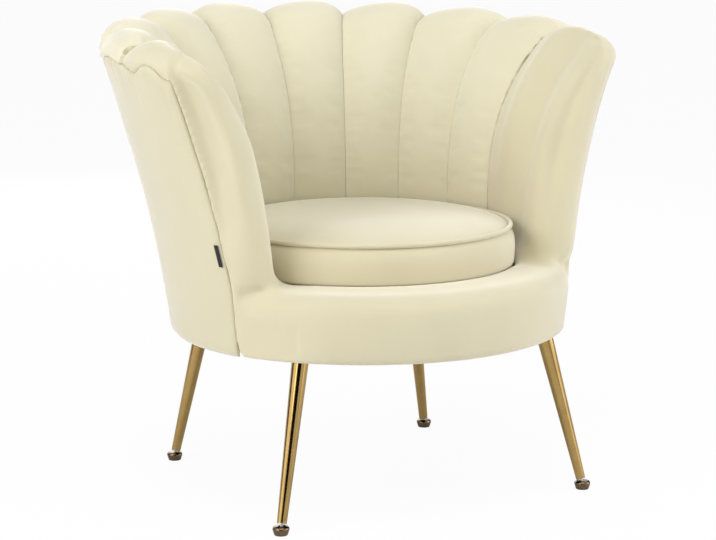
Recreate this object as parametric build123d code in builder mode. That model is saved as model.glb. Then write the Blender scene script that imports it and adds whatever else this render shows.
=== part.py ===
# Round tub lounge chair: scalloped petal back, loose round cushion, four splayed legs on levelling glides.
# Sizes in millimetres, +Z up, front towards -Y. The body is round about one upright axis;
# pieces are drawn about that axis and moved together so that the origin is under the middle of the chair.
import os
from math import asin, atan2, cos, degrees, radians, sin, sqrt

from build123d import *

# Heights above the floor
BODY_BOTTOM = 246.0
LEDGE_TOP = 342.0
CUSHION_EDGE = 401.0
CUSHION_CROWN = 422.0
FLARE_START = 436.0

# Inner wall at a seam: upright, then a long flare, then the rim roll
SEAT_WALL_R = 240.0
FLARE_RADIUS = 420.0
FLARE_ANGLE = 38.0
ROLL_RADIUS = 38.0
RIM_DROP = 21.0

# Petals
SEAM_STEP_SEAT = 20.8
SEAM_STEP_RIM = 22.35
PETALS_PER_SIDE = 4
PAD = 21.0
BULGE_SEAT = 4.0
BULGE_FLARE = 13.0
BULGE_RIM = 14.0
BULGE_OUTER = 0.5
SEW_GAP = 0.2

# Outside of the body
APRON_R = 316.0
BOTTOM_R = 309.0
OUTER_MID_R = 342.0
OUTER_MID_Z = 455.0
COVER = 8.0
HEM = 10.0
APRON_ROUND = 30.0
BACK_INSET = 20.0
BACK_INSET_TOP = 560.0
PAD_CLEAR = 1.6
FIT = 0.3

# Arms: the front seam plane, by its angles from the back at the ledge and at the crest, and the rolled front
ARM_LOW_R = 285.0
FRONT_SEAM_LOW = 116.2
FRONT_SEAM_HIGH = 106.5
NOSE_REACH = 52.0
NOSE_FALL = 40.0
NOSE_INSET = 22.0

# Frame
PLY = 18.0
BASE_RING_OUT = 297.0
BASE_RING_IN = 190.0
LINING = 4.0
HOOP = 20.0
RAIL = 9.0
BLOCK_LENGTH = 50.0

# Seat
CUSHION_R = 233.5
CUSHION_SEAM_R = 223.5
PIPING_R = 3.5
CLOTH = 2.0
STRAP_WIDTH = 50.0
STRAP_PITCH = 70.0
STRAP = 1.6
STRAP_END = 40.0
DECK_R = 231.5

# Legs and glides, places measured from the body axis
FRONT_TOP = (207.5, -197.0)
FRONT_FOOT = (258.0, -234.5)
BACK_TOP = (189.0, 184.0)
BACK_FOOT = (232.0, 216.0)
LEG_TOP_R = 12.5
LEG_END_R = 7.25
LEG_WALL = 1.2
LEG_END_Z = 16.8
LEG_OVER = 20.0
PLATE_R = 36.0
PLATE = 3.0
FRONT_PLATE_R = 262.0
BACK_PLATE_R = 248.0
PLATE_HOLE_PLACE_R = 29.0
SCREW_R = 2.0
SCREW_LENGTH = 15.0
DUST = 1.0
FOOT_R = 12.5
FOOT_BASE_R = 9.5
FOOT_HEIGHT = 13.0
BALL_R = 5.5
BALL_Z = 6.2
STEM_R = 3.8
NECK_R = 2.6
NECK_LENGTH = 9.5
STEM_LENGTH = 34.0
BUSH_BORE_R = 4.0
BUSH_LENGTH = 16.0
BUSH_FLANGE = 1.5

# Derived places
FLARE_CENTRE_R = SEAT_WALL_R + FLARE_RADIUS
FLARE_END_Z = FLARE_START + FLARE_RADIUS * sin(radians(FLARE_ANGLE))
ROLL_R = FLARE_CENTRE_R - (FLARE_RADIUS - ROLL_RADIUS) * cos(radians(FLARE_ANGLE))
ROLL_Z = FLARE_START + (FLARE_RADIUS - ROLL_RADIUS) * sin(radians(FLARE_ANGLE))
CREST_Z = ROLL_Z + ROLL_RADIUS
OUTER_TOP_R = ROLL_R + ROLL_RADIUS
BASE_TOP = BODY_BOTTOM + PLY
SEAT_RING_TOP = LEDGE_TOP - PLY
LINING_R = SEAT_WALL_R + PAD + FIT
BASE_Y = -BACK_INSET / 2
BASE_RING_R = BASE_RING_OUT - BACK_INSET / 2
AXIS_Y = (APRON_R - OUTER_TOP_R) / 2
PLATE_TOP = BODY_BOTTOM - DUST
LEG_TOP_Z = PLATE_TOP - PLATE


def polar(angle, r):
    """Point at an angle from the back, positive towards +X."""
    return Vector(r * sin(radians(angle)), r * cos(radians(angle)))


def drop(step):
    """Fall of the rim at a seam number, which may be a fraction: the rim lies in a plane tilted to the front."""
    return RIM_DROP * (1 - cos(radians(step * SEAM_STEP_RIM)))


def lowered(z, step):
    """Height of a wall point once the rim has fallen at this seam number."""
    if z <= FLARE_START:
        return z
    return z - drop(step) * (z - FLARE_START) / (CREST_Z - FLARE_START)


def seam_plane(step, side, shift=0.0):
    """Upright plane through seam number step, and how far it passes from the body axis."""
    low = polar(step * SEAM_STEP_SEAT, SEAT_WALL_R)
    high = polar(step * SEAM_STEP_RIM, ROLL_R)
    along = (high - low).normalized()
    foot = low - along * low.dot(along)
    # shift moves the plane sideways, towards higher seam numbers when positive
    normal = Vector(along.Y, -along.X)
    foot = foot + normal * shift
    miss = foot.length
    x_dir = (side * along.X, along.Y, 0)
    z_dir = (along.Y, -side * along.X, 0)
    return Plane(origin=(side * foot.X, foot.Y, 0), x_dir=x_dir, z_dir=z_dir), miss


def in_plane(r, z, miss):
    """Sketch point in a seam plane of the place r from the body axis."""
    return (sqrt(r * r - miss * miss), z)


def wall(turn, off):
    """Point of the wall profile after it has turned by an angle from upright; off moves it into the seat space."""
    c = cos(radians(turn))
    s = sin(radians(turn))
    if turn <= FLARE_ANGLE:
        radius = FLARE_RADIUS + off
        return FLARE_CENTRE_R - radius * c, FLARE_START + radius * s
    radius = ROLL_RADIUS + off
    return ROLL_R - radius * c, ROLL_Z + radius * s


TURNS = (0, FLARE_ANGLE / 2, FLARE_ANGLE, 66, 94, 138, 180)


def petal_swell(bulge):
    """How far a petal stands off the wall at its foot and at each turn of the profile."""
    rim = BULGE_RIM * bulge
    outer = BULGE_OUTER * bulge
    return [BULGE_SEAT * bulge, BULGE_SEAT * bulge, BULGE_FLARE * bulge, rim, rim, rim, (rim + outer) / 2, outer]


def wall_stations(swell, floor_z):
    """Profile points from the seat up the wall, over the rim and down to the outer seam."""
    points = [(SEAT_WALL_R - swell[0], floor_z)]
    for turn, off in zip(TURNS, swell[1:]):
        points.append(wall(turn, off))
    return points


def back_stations(floor_z):
    """Same path on the back of the padding."""
    points = [(SEAT_WALL_R + PAD, floor_z)]
    for turn in TURNS:
        points.append(wall(turn, -PAD))
    return points


def outer_r(z, angle):
    """Radius of the outer cover at a height and an angle from the back: a parabola, less the set-in foot."""
    z1, z2, z3 = BODY_BOTTOM + HEM, OUTER_MID_Z, ROLL_Z
    r1, r2, r3 = BOTTOM_R + 0.4 * HEM, OUTER_MID_R, OUTER_TOP_R
    share1 = (z - z2) * (z - z3) / ((z1 - z2) * (z1 - z3))
    share2 = (z - z1) * (z - z3) / ((z2 - z1) * (z2 - z3))
    share3 = (z - z1) * (z - z2) / ((z3 - z1) * (z3 - z2))
    return r1 * share1 + r2 * share2 + r3 * share3 - drawn_in(z, angle)


def drawn_in(z, angle):
    """How far the foot of the body is set in: most at the back, nothing at the front seams or above the seat."""
    share = min(1.0, max(0.0, (BACK_INSET_TOP - z) / (BACK_INSET_TOP - BODY_BOTTOM - HEM)))
    return BACK_INSET * share * max(0.0, cos(radians(90 * angle / FRONT_SEAM_LOW)))


made = {}


def keep(name, builder, colour):
    """Names a finished piece and puts it in the chair's frame."""
    piece = Pos(0, AXIS_Y, 0) * builder.part
    piece.label = name
    piece.color = Color(*colour)
    made[name] = piece


VELVET = (0.83, 0.79, 0.70)
WOOD = (0.76, 0.62, 0.43)
GOLD = (0.80, 0.62, 0.32)
BRONZE = (0.16, 0.13, 0.11)
STEEL = (0.62, 0.62, 0.63)
DARK = (0.10, 0.10, 0.10)
FOAM = (0.90, 0.86, 0.70)

# Frame: the base ring carries the legs and everything above it.
leg_places = {
    "front_left": (-1, FRONT_TOP, FRONT_FOOT, FRONT_PLATE_R),
    "front_right": (1, FRONT_TOP, FRONT_FOOT, FRONT_PLATE_R),
    "back_left": (-1, BACK_TOP, BACK_FOOT, BACK_PLATE_R),
    "back_right": (1, BACK_TOP, BACK_FOOT, BACK_PLATE_R),
}


def plate_place(side, top, plate_r):
    """Centre of a leg plate, on the line from the axis to the leg."""
    share = plate_r / sqrt(top[0] ** 2 + top[1] ** 2)
    return (side * top[0] * share, top[1] * share)


def plate_holes(side, top, plate_r):
    """Places of the four screws of one plate."""
    x, y = plate_place(side, top, plate_r)
    turn = degrees(atan2(y, x))
    return [(x + PLATE_HOLE_PLACE_R * cos(radians(turn + a)), y + PLATE_HOLE_PLACE_R * sin(radians(turn + a)))
            for a in (60, 120, 240, 300)]


screw_places = []
for side, top, foot, plate_r in leg_places.values():
    screw_places += plate_holes(side, top, plate_r)

with BuildPart() as base_ring:
    with BuildSketch(Plane.XY.offset(BODY_BOTTOM)):
        with Locations((0, BASE_Y)):
            Circle(BASE_RING_R)
        Circle(BASE_RING_IN, mode=Mode.SUBTRACT)
    extrude(amount=PLY)
    with BuildSketch(Plane.XY.offset(BODY_BOTTOM)):
        with Locations(*screw_places):
            Circle(SCREW_R + 0.05)
    extrude(amount=SCREW_LENGTH - PLATE - DUST + 0.5, mode=Mode.SUBTRACT)
keep("base_ring", base_ring, WOOD)

with BuildPart() as seat_ring:
    with BuildSketch(Plane.XY.offset(SEAT_RING_TOP - PLY)):
        Circle(LINING_R - FIT)
        Circle(BASE_RING_IN, mode=Mode.SUBTRACT)
    extrude(amount=PLY)
keep("seat_ring", seat_ring, WOOD)

with BuildPart() as seat_blocks:
    with BuildSketch(Plane.XY.offset(BASE_TOP)):
        with PolarLocations((BASE_RING_IN + LINING_R) / 2, 8, start_angle=22.5):
            Rectangle(BLOCK_LENGTH, PLY * 2)
    extrude(amount=SEAT_RING_TOP - PLY - BASE_TOP)
keep("seat_blocks", seat_blocks, WOOD)

# The bent front rail stands on the base ring under the apron, from one side rib to the other.
RAIL_R = BASE_RING_R - RAIL / 2
RAIL_ANGLE = 93.0
with BuildPart() as front_rail:
    with BuildSketch(Plane.XZ):
        with Locations((RAIL_R, (BASE_TOP + SEAT_RING_TOP) / 2)):
            Rectangle(RAIL, SEAT_RING_TOP - BASE_TOP)
    revolve(axis=Axis.Z, revolution_arc=2 * (180 - RAIL_ANGLE))
    front_rail_turn = front_rail.part
front_rail.part = Pos(0, BASE_Y, 0) * Rot(0, 0, -(180 - RAIL_ANGLE) - 90) * front_rail_turn
keep("front_rail", front_rail, WOOD)

# Rim hoop: bent to the circle of the rim roll and tilted with it, resting on the ribs.
seam_steps = range(-PETALS_PER_SIDE, PETALS_PER_SIDE + 1)
with BuildPart() as rim_hoop:
    for step in seam_steps:
        end_gap = -FIT if abs(step) == PETALS_PER_SIDE else 0.0
        plane, miss = seam_plane(abs(step), 1 if step >= 0 else -1, end_gap)
        with BuildSketch(plane):
            with Locations(in_plane(ROLL_R, lowered(ROLL_Z, step), miss)):
                Rectangle(HOOP, HOOP)
    loft()
keep("rim_hoop", rim_hoop, WOOD)

# Ribs: plywood profiles behind the seams, standing on the base ring between the lining and the outer cover.
# A seam plane passes beside the axis, so a rib's edges keep clear by the spread over its thickness.
RIB_IN = PAD + FIT + LINING + 0.2
RIB_TOP_GAP = 0.6
RIB_CLEAR = 1.0
rib_places = {"rib_back": (0, 1), "rib_left": (2, -1), "rib_right": (2, 1),
              "rib_arm_left": (PETALS_PER_SIDE, -1), "rib_arm_right": (PETALS_PER_SIDE, 1)}
for name, (step, side) in rib_places.items():
    shift = -(PLY / 2 + 2 * SEW_GAP) if step == PETALS_PER_SIDE else 0.0
    plane, miss = seam_plane(step, side, shift)
    spread = miss * PLY / 2 / SEAT_WALL_R
    top_z = lowered(ROLL_Z, step) - HOOP / 2 - RIB_TOP_GAP
    raised = FLARE_START + (top_z - FLARE_START) * (CREST_Z - FLARE_START) / (CREST_Z - FLARE_START - drop(step))
    behind = RIB_IN + spread
    end_turn = degrees(asin((raised - FLARE_START) / (FLARE_RADIUS - behind)))
    inner = [(SEAT_WALL_R + behind, BASE_TOP)] + [wall(turn, -behind) for turn in (0, end_turn / 2, end_turn)]
    inner = [in_plane(r, lowered(z, step), miss) for r, z in inner]
    reach = COVER + RIB_CLEAR + spread
    angle = step * SEAM_STEP_RIM
    outer = [(outer_r(z, angle) - reach, lowered(z, step)) for z in (BASE_TOP, OUTER_MID_Z, raised)]
    outer = [in_plane(r, z, miss) for r, z in outer]
    with BuildPart() as rib:
        with BuildSketch(plane):
            with BuildLine():
                Line(inner[0], inner[1])
                ThreePointArc(inner[1], inner[2], inner[3])
                Line(inner[3], outer[2])
                ThreePointArc(outer[2], outer[1], outer[0])
                Line(outer[0], inner[0])
            make_face()
        extrude(amount=PLY / 2, both=True)
    keep(name, rib, WOOD)

# Bent lining that the petals are stapled to, from the base ring to just under the hoop.
LINING_TURN = 32.0
with BuildPart() as inner_lining:
    for step in seam_steps:
        end_gap = -FIT if abs(step) == PETALS_PER_SIDE else 0.0
        plane, miss = seam_plane(abs(step), 1 if step >= 0 else -1, end_gap)
        front = PAD + FIT
        rear = PAD + FIT + LINING
        lining_turns = (0, LINING_TURN / 2, LINING_TURN)
        low = [(SEAT_WALL_R + front, BASE_TOP)] + [wall(turn, -front) for turn in lining_turns]
        up = [(SEAT_WALL_R + rear, BASE_TOP)] + [wall(turn, -rear) for turn in lining_turns]
        a = [in_plane(r, lowered(z, step), miss) for r, z in low]
        b = [in_plane(r, lowered(z, step), miss) for r, z in up]
        with BuildSketch(plane):
            with BuildLine():
                Line(a[0], a[1])
                ThreePointArc(a[1], a[2], a[3])
                Line(a[3], b[3])
                ThreePointArc(b[3], b[2], b[1])
                Line(b[1], b[0])
                Line(b[0], a[0])
            make_face()
    loft()
keep("inner_lining", inner_lining, WOOD)

# Elastic webbing: four straps front to back, then four across with their ends folded under.
strap_places = [STRAP_PITCH * (i - 1.5) for i in range(4)]
STRAP_R = DECK_R - 0.5
with BuildPart() as webbing_long:
    for x in strap_places:
        length = 2 * sqrt(STRAP_R ** 2 - (abs(x) + STRAP_WIDTH / 2) ** 2)
        with BuildSketch(Plane.XY.offset(SEAT_RING_TOP)):
            with Locations((x, 0)):
                Rectangle(STRAP_WIDTH, length)
        extrude(amount=STRAP)
keep("webbing_long", webbing_long, DARK)

with BuildPart() as webbing_cross:
    for y in strap_places:
        length = 2 * sqrt(STRAP_R ** 2 - (abs(y) + STRAP_WIDTH / 2) ** 2)
        edge = abs(strap_places[0]) + STRAP_WIDTH / 2
        with BuildSketch(Plane.XY.offset(SEAT_RING_TOP + STRAP + FIT)):
            with Locations((0, y)):
                Rectangle(length, STRAP_WIDTH)
        extrude(amount=STRAP)
        if length / 2 > edge + 12:
            fold = min(STRAP_END, length / 2 - edge - 2)
            with BuildSketch(Plane.XY.offset(SEAT_RING_TOP)):
                with Locations((length / 2 - fold / 2, y), (-length / 2 + fold / 2, y)):
                    Rectangle(fold, STRAP_WIDTH)
            extrude(amount=STRAP + FIT)
keep("webbing_cross", webbing_cross, DARK)

DECK_BOTTOM = SEAT_RING_TOP + 2 * STRAP + 2 * FIT
with BuildPart() as deck_pad:
    with BuildSketch(Plane.XY.offset(DECK_BOTTOM)):
        Circle(DECK_R)
    extrude(amount=LEDGE_TOP - DECK_BOTTOM)
    fillet(deck_pad.faces().sort_by(Axis.Z)[-1].edges(), 4)
keep("deck_pad", deck_pad, VELVET)

# Petals: each is lofted across its width through five upright sections, flat at its seams and full between.
# The padding starts on the seat ring, climbs the wall, rolls over the hoop and ends at the outer seam.
FULLNESS = [(0.0, 0.0), (0.16, 0.62), (0.5, 1.0), (0.84, 0.62), (1.0, 0.0)]


def petal_section(step, side, bulge, shift):
    """One closed section of a petal in the upright plane of a seam number."""
    plane, miss = seam_plane(step, side, shift)
    front = [in_plane(r, lowered(z, step), miss) for r, z in wall_stations(petal_swell(bulge), SEAT_RING_TOP + FIT)]
    rear = [in_plane(r, lowered(z, step), miss) for r, z in back_stations(SEAT_RING_TOP + FIT)]
    with BuildSketch(plane) as section:
        with BuildLine():
            Line(front[0], front[1])
            ThreePointArc(front[1], front[2], front[3])
            ThreePointArc(front[3], front[4], front[5])
            ThreePointArc(front[5], front[6], front[7])
            Line(front[7], rear[7])
            ThreePointArc(rear[7], rear[6], rear[5])
            ThreePointArc(rear[5], rear[4], rear[3])
            ThreePointArc(rear[3], rear[2], rear[1])
            Line(rear[1], rear[0])
            Line(rear[0], front[0])
        make_face()
    return section


for side, hand in ((-1, "left"), (1, "right")):
    for number in range(PETALS_PER_SIDE):
        with BuildPart() as petal:
            sections = []
            for part_way, bulge in FULLNESS:
                shift = SEW_GAP if part_way == 0.0 else -SEW_GAP if part_way == 1.0 else 0.0
                sections.append(petal_section(number + part_way, side, bulge, shift).sketch)
            loft(sections=sections)
        keep(f"petal_{hand}_{number + 1}", petal, VELVET)

# Outer cover: padded skin from one front seam round the back to the other, under the rim roll.
COVER_STEPS = [-5.4, -4.5, -3.5, -2.5, -1.5, -0.5, 0.5, 1.5, 2.5, 3.5, 4.5, 5.4]


def cover_section(step, skin, reach):
    """Section of the outer cover in an upright plane; reach grows it outwards for use as a cutter."""
    angle = step * SEAM_STEP_RIM
    x_dir = (sin(radians(angle)), cos(radians(angle)), 0)
    z_dir = (cos(radians(angle)), -sin(radians(angle)), 0)
    top = lowered(ROLL_Z - FIT, step)
    low_z = BODY_BOTTOM + HEM
    foot_r = BOTTOM_R - drawn_in(BODY_BOTTOM, angle)
    outer = [(outer_r(z, angle) + reach, lowered(z, step)) for z in (low_z, OUTER_MID_Z, ROLL_Z - FIT)]
    inner = [(outer_r(z, angle) - skin, lowered(z, step)) for z in (low_z, OUTER_MID_Z, ROLL_Z - FIT)]
    with BuildSketch(Plane(origin=(0, 0, 0), x_dir=x_dir, z_dir=z_dir)) as section:
        with BuildLine():
            Line((foot_r - skin - 2, BODY_BOTTOM), (foot_r - 0.4 * HEM + reach, BODY_BOTTOM))
            ThreePointArc((foot_r - 0.4 * HEM + reach, BODY_BOTTOM),
                          (foot_r + 0.12 * HEM + reach, BODY_BOTTOM + 0.34 * HEM), outer[0])
            ThreePointArc(outer[0], outer[1], outer[2])
            Line(outer[2], inner[2])
            ThreePointArc(inner[2], inner[1], inner[0])
            Line(inner[0], (foot_r - skin - 2, BODY_BOTTOM))
        make_face()
    return section


def arm_frame(low_angle, high_angle):
    """Place, outward and upward directions and forward normal of a leaning plane across the right arm."""
    low = polar(low_angle, ARM_LOW_R) + Vector(0, 0, LEDGE_TOP)
    high = polar(high_angle, ROLL_R) + Vector(0, 0, CREST_Z)
    out = polar((low_angle + high_angle) / 2, 1)
    run = high - low
    up = (run - out * run.dot(out)).normalized()
    return low, out, up, out.cross(up)


def arm_plane(low_angle, high_angle, side, forward):
    """That plane on either side, moved forward."""
    low, out, up, normal = arm_frame(low_angle, high_angle)
    place = low + normal * forward
    out = Vector(side * out.X, out.Y, 0)
    up = Vector(side * up.X, up.Y, up.Z)
    return Plane(origin=(side * place.X, place.Y, place.Z), x_dir=out, z_dir=out.cross(up))


def on_arm_plane(r, z, low_angle, high_angle):
    """Sketch point in a leaning plane of the place r from the body axis at height z."""
    low, out, up, normal = arm_frame(low_angle, high_angle)
    climb = (z - low.Z) / up.Z
    foot = Vector(low.X + climb * up.X, low.Y + climb * up.Y)
    along = foot.dot(out)
    return (sqrt(along ** 2 - foot.dot(foot) + r * r) - along, climb)


def front_seam(z):
    """Place of the right front seam on the outside of the body at a height above the ledge."""
    low, out, up, normal = arm_frame(FRONT_SEAM_LOW, FRONT_SEAM_HIGH)
    across, climb = on_arm_plane(outer_r(z, FRONT_SEAM_LOW), z, FRONT_SEAM_LOW, FRONT_SEAM_HIGH)
    return low + out * across + up * climb


CUTTER = 600.0


def front_block(forward):
    """Solid in front of the front seams, moved forward by a small clearance."""
    with BuildPart() as block:
        for side in (-1, 1):
            with BuildSketch(arm_plane(FRONT_SEAM_LOW, FRONT_SEAM_HIGH, side, forward)):
                with Locations((CUTTER / 6, CUTTER / 2 - LEDGE_TOP / 6)):
                    Rectangle(CUTTER, CUTTER)
            extrude(amount=side * CUTTER)
        with Locations((0, front_seam(LEDGE_TOP).Y - forward, LEDGE_TOP)):
            Box(2 * CUTTER, CUTTER, CUTTER, align=(Align.CENTER, Align.MAX, Align.MAX))
    return block.part


with BuildPart() as outer_cover:
    loft(sections=[cover_section(step, COVER, 0).sketch for step in COVER_STEPS])
    add(front_block(0), mode=Mode.SUBTRACT)
keep("outer_cover", outer_cover, VELVET)

with BuildPart() as cover_room:
    loft(sections=[cover_section(step, COVER + FIT, 30).sketch for step in COVER_STEPS])
    add(front_block(FIT), mode=Mode.SUBTRACT)

# Front apron: a rolled band round the front whose top makes the ledge before the cushion.
APRON_ANGLE = 93.5
with BuildPart() as front_apron:
    with BuildSketch(Plane.XZ):
        rail_face = BASE_RING_OUT + FIT
        with BuildLine():
            Line((DECK_R + FIT, SEAT_RING_TOP + FIT), (DECK_R + FIT, LEDGE_TOP - 4))
            ThreePointArc((DECK_R + FIT, LEDGE_TOP - 4), (DECK_R + FIT + 1.2, LEDGE_TOP - 1.2),
                          (DECK_R + FIT + 4, LEDGE_TOP))
            shoulder = (APRON_R - APRON_ROUND, LEDGE_TOP)
            brow = (APRON_R - 0.28 * APRON_ROUND, LEDGE_TOP - 0.27 * APRON_ROUND)
            face = (APRON_R - 0.5, LEDGE_TOP - 0.9 * APRON_ROUND)
            hem = (APRON_R - 0.3 * HEM, BODY_BOTTOM + HEM)
            edge = (APRON_R - 1.1 * HEM, BODY_BOTTOM)
            Line((DECK_R + FIT + 4, LEDGE_TOP), shoulder)
            ThreePointArc(shoulder, brow, face)
            ThreePointArc(face, (APRON_R, LEDGE_TOP - 1.6 * APRON_ROUND), hem)
            ThreePointArc(hem, (APRON_R - 0.56 * HEM, BODY_BOTTOM + 0.3 * HEM), edge)
            Line(edge, (rail_face, BODY_BOTTOM))
            Line((rail_face, BODY_BOTTOM), (rail_face, SEAT_RING_TOP + FIT))
            Line((rail_face, SEAT_RING_TOP + FIT), (DECK_R + FIT, SEAT_RING_TOP + FIT))
        make_face()
    revolve(axis=Axis.Z, revolution_arc=2 * (180 - APRON_ANGLE))
front_apron.part = Rot(0, 0, -(180 - APRON_ANGLE) - 90) * front_apron.part
with BuildPart() as front_apron_cut:
    add(front_apron.part)
    add(cover_room.part, mode=Mode.SUBTRACT)
keep("front_apron", front_apron_cut, VELVET)


# Arms: each wide front lobe is a pad behind the front seam and a rolled front before it.
# Every section is an arch over the whole arm, in a plane that leans back more and more towards the front.
# The pad swells like a petal and then draws out to the roll, whose inside lies further out than the wall.
def arch(swell, step, angle, skin):
    """Arm profile from the ledge up the inside, over the crest and down the outside, skin in from the surface."""
    low_z = LEDGE_TOP + FIT
    inside = wall_stations(swell, low_z)
    outside = [(outer_r(z, angle) - skin, z) for z in (ROLL_Z, OUTER_MID_Z, low_z)]
    return [(r, lowered(z, step)) for r, z in inside + outside]


def arch_section(plane, points, stepped):
    """Closed section through the arch points; a stepped one has room for the outer cover under the roll."""
    with BuildSketch(plane) as section:
        with BuildLine():
            Line(points[0], points[1])
            ThreePointArc(points[1], points[2], points[3])
            ThreePointArc(points[3], points[4], points[5])
            ThreePointArc(points[5], points[6], points[7])
            if stepped:
                Line(points[7], points[8])
                ThreePointArc(points[8], points[9], points[10])
            else:
                ThreePointArc(points[7], points[9], points[10])
            Line(points[10], points[0])
        make_face()
    return section.sketch


def narrowed(points, width):
    """Arch drawn in towards its middle line, its top lowered, for the rolled front."""
    foot = ((points[0][0] + points[10][0]) / 2, points[0][1])
    crest = points[5]
    waist = ((points[2][0] + points[9][0] + points[8][0]) / 3, points[2][1])
    thin = []
    for i, (x, y) in enumerate(points):
        below, above = (foot, waist) if y < waist[1] else (waist, crest)
        share = min(1.0, (y - below[1]) / (above[1] - below[1]))
        middle = below[0] + (above[0] - below[0]) * share
        sink = NOSE_FALL * (1 - width) if 3 <= i <= 8 else 0.0
        thin.append((middle + (x - middle) * width, y - sink))
    return thin


# Pad sections: angles at the ledge and at the crest, share of the petal's swell and of the roll's inset.
NOSE_SWELL = [-NOSE_INSET * share for share in (0.05, 0.73, 1.0, 0.64, 0.0, -0.5, -0.27, 0.0)]
ARM_PAD = [(90.0, 93.0, 0.65, 0.0), (98.5, 97.8, 1.0, 0.0), (107.5, 102.2, 0.45, 0.45),
           (FRONT_SEAM_LOW, FRONT_SEAM_HIGH, 0.0, 1.0)]
# Front sections: turn round the roll.
ARM_FRONT = (0.0, 20.0, 42.0, 62.0, 76.0)


def arm_points(low_angle, high_angle, swell, skin):
    """Arch points in a leaning plane."""
    angle = (low_angle + high_angle) / 2
    return [on_arm_plane(r, z, low_angle, high_angle)
            for r, z in arch(swell, high_angle / SEAM_STEP_RIM, angle, skin)]


for side, hand in ((-1, "left"), (1, "right")):
    plane, miss = seam_plane(PETALS_PER_SIDE, side, 3 * SEW_GAP)
    start = arch(petal_swell(0.0), PETALS_PER_SIDE, PETALS_PER_SIDE * SEAM_STEP_RIM, COVER + PAD_CLEAR)
    sections = [arch_section(plane, [in_plane(r, z, miss) for r, z in start], True)]
    for low_angle, high_angle, lobe, roll in ARM_PAD:
        swell = [lobe * a + roll * b for a, b in zip(petal_swell(1.0), NOSE_SWELL)]
        points = arm_points(low_angle, high_angle, swell, COVER + PAD_CLEAR)
        back = -SEW_GAP if low_angle == FRONT_SEAM_LOW else 0.0
        sections.append(arch_section(arm_plane(low_angle, high_angle, side, back), points, True))
    with BuildPart() as arm_pad:
        loft(sections=sections)
    keep(f"arm_pad_{hand}", arm_pad, VELVET)
    sections = []
    full = arm_points(FRONT_SEAM_LOW, FRONT_SEAM_HIGH, NOSE_SWELL, 0.0)
    for turn in ARM_FRONT:
        plane = arm_plane(FRONT_SEAM_LOW, FRONT_SEAM_HIGH, side, SEW_GAP + NOSE_REACH * sin(radians(turn)))
        sections.append(arch_section(plane, narrowed(full, cos(radians(turn))), False))
    with BuildPart() as arm_front:
        loft(sections=sections)
    keep(f"arm_front_{hand}", arm_front, VELVET)

# Small tag sewn into the left front seam, lying flat on the outer cover.
TAG_HEIGHT = 32.0
TAG_WIDTH = 8.0
TAG_Z = 393.0
TAG_CLEAR = 0.35
seam = front_seam(TAG_Z)
tag_angle = degrees(atan2(seam.X, seam.Y)) - degrees((TAG_WIDTH / 2 + 3) / seam.length)
tag_place = polar(-tag_angle, outer_r(TAG_Z, tag_angle)) + Vector(0, 0, TAG_Z)
lean = atan2(outer_r(TAG_Z + 10, tag_angle) - outer_r(TAG_Z - 10, tag_angle), 20)
outward = polar(-tag_angle, cos(lean)) + Vector(0, 0, -sin(lean))
with BuildPart() as side_tag:
    tag_plane = Plane(origin=tag_place + outward * TAG_CLEAR, x_dir=polar(90 - tag_angle, 1), z_dir=outward)
    with BuildSketch(tag_plane):
        RectangleRounded(TAG_WIDTH, TAG_HEIGHT, 1.0)
    extrude(amount=0.8)
keep("side_tag", side_tag, DARK)

# Dust cover under the base ring, with the plates screwed on through it.
with BuildPart() as dust_cover:
    with BuildSketch(Plane.XY.offset(BODY_BOTTOM - DUST)):
        with Locations((0, BASE_Y)):
            Circle(BASE_RING_R)
        with Locations(*screw_places):
            Circle(SCREW_R + 0.05, mode=Mode.SUBTRACT)
    extrude(amount=DUST)
keep("dust_cover", dust_cover, DARK)

# Seat cushion: foam core in a sewn cover with a crowned top, drawn in at the piping seam.
CUSHION_BOTTOM = LEDGE_TOP + FIT


def cushion_profile(inset):
    """Half profile of the cushion, drawn in from the outside by inset."""
    bottom = CUSHION_BOTTOM + inset
    side = CUSHION_R - inset
    seam = (CUSHION_SEAM_R - inset, CUSHION_EDGE)
    crown = CUSHION_CROWN - inset
    with BuildSketch(Plane.XZ) as profile:
        with BuildLine():
            Line((0, bottom), (side - 10, bottom))
            ThreePointArc((side - 10, bottom), (side - 2.9, bottom + 2.9), (side, bottom + 10))
            ThreePointArc((side, bottom + 10), (side + 1.0, CUSHION_EDGE - 26), seam)
            dome = TangentArc((0, crown), (CUSHION_SEAM_R * 0.7, crown - 5), tangent=(1, 0))
            TangentArc(dome @ 1, seam, tangent=dome % 1)
            Line((0, crown), (0, bottom))
        make_face()
    return profile.sketch


with BuildPart() as cushion_core:
    revolve(profiles=cushion_profile(CLOTH + FIT), axis=Axis.Z)
keep("cushion_core", cushion_core, FOAM)

with BuildPart() as cushion_cover:
    revolve(profiles=cushion_profile(0), axis=Axis.Z)
    revolve(profiles=cushion_profile(CLOTH), axis=Axis.Z, mode=Mode.SUBTRACT)
keep("cushion_cover", cushion_cover, VELVET)

with BuildPart() as cushion_piping:
    with BuildSketch(Plane.XZ):
        with Locations((CUSHION_SEAM_R + PIPING_R + 0.6, CUSHION_EDGE + 1.2)):
            Circle(PIPING_R)
    revolve(axis=Axis.Z)
keep("cushion_piping", cushion_piping, VELVET)

# Legs: tapered tubes welded to round plates, each with a threaded bush and a levelling glide.
with BuildPart() as plate_screws:
    for x, y in screw_places:
        with BuildSketch(Plane.XY.offset(LEG_TOP_Z)):
            with Locations((x, y)):
                Circle(SCREW_R)
        extrude(amount=SCREW_LENGTH)
        with BuildSketch(Plane.XY.offset(LEG_TOP_Z - 1.8)):
            with Locations((x, y)):
                Circle(SCREW_R * 1.9)
        extrude(amount=1.8)
keep("plate_screws", plate_screws, STEEL)

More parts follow.
